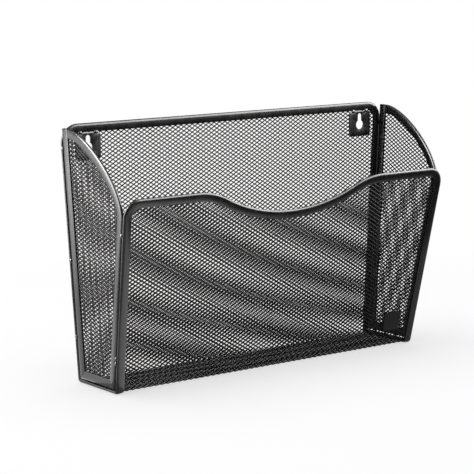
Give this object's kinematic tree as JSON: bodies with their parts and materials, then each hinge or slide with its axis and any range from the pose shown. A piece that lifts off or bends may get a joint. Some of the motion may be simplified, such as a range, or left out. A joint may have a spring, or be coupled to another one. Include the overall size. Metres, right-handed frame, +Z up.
{
  "type": "hanging file rack",
  "caption": "Wall-hung letter file rack: one open steel mesh pocket in black channel rims, with a scooped front, arched sides and keyhole hanger plates.",
  "frame": {"origin": "on the wall plane, at the middle of the rear face of the back's top rail", "axes": "+X runs along the wall to the right as seen from the room, the pocket stands out from the wall towards -Y, +Z is up"},
  "size_m": [0.3628, 0.0961, 0.2272],
  "materials": {
    "mesh_coat": "thin semi-gloss black powder coat over expanded steel mesh",
    "channel_coat": "semi-gloss black powder coat over pressed steel channel",
    "hanger_coat": "semi-gloss black powder coat over stamped steel plate",
    "weld_coat": "semi-gloss black powder coat over tack weld beads",
    "badge_gloss": "gloss black, plain, with softened edges"
  },
  "bodies": {
    "root": {"front_mesh": "mesh_coat", "back_mesh": "mesh_coat", "bottom_mesh": "mesh_coat", "left_side_mesh": "mesh_coat", "right_side_mesh": "mesh_coat", "front_rim": "channel_coat", "back_rim": "channel_coat", "left_bottom_channel": "channel_coat", "right_bottom_channel": "channel_coat", "left_bottom_rail": "channel_coat", "left_arch": "channel_coat", "left_back_stile": "channel_coat", "right_bottom_rail": "channel_coat", "right_arch": "channel_coat", "right_back_stile": "channel_coat", "left_hanger_plate": "hanger_coat", "right_hanger_plate": "hanger_coat", "badge_plate": "badge_gloss", "badge_backing": "hanger_coat", "left_front_weld_1": "weld_coat", "left_front_weld_2": "weld_coat", "left_front_weld_3": "weld_coat", "left_back_weld_1": "weld_coat", "left_back_weld_2": "weld_coat", "left_back_weld_3": "weld_coat", "right_front_weld_1": "weld_coat", "right_front_weld_2": "weld_coat", "right_front_weld_3": "weld_coat", "right_back_weld_1": "weld_coat", "right_back_weld_2": "weld_coat", "right_back_weld_3": "weld_coat", "left_hanger_weld_1": "weld_coat", "left_hanger_weld_2": "weld_coat", "right_hanger_weld_1": "weld_coat", "right_hanger_weld_2": "weld_coat"}
  },
  "joints": []
}
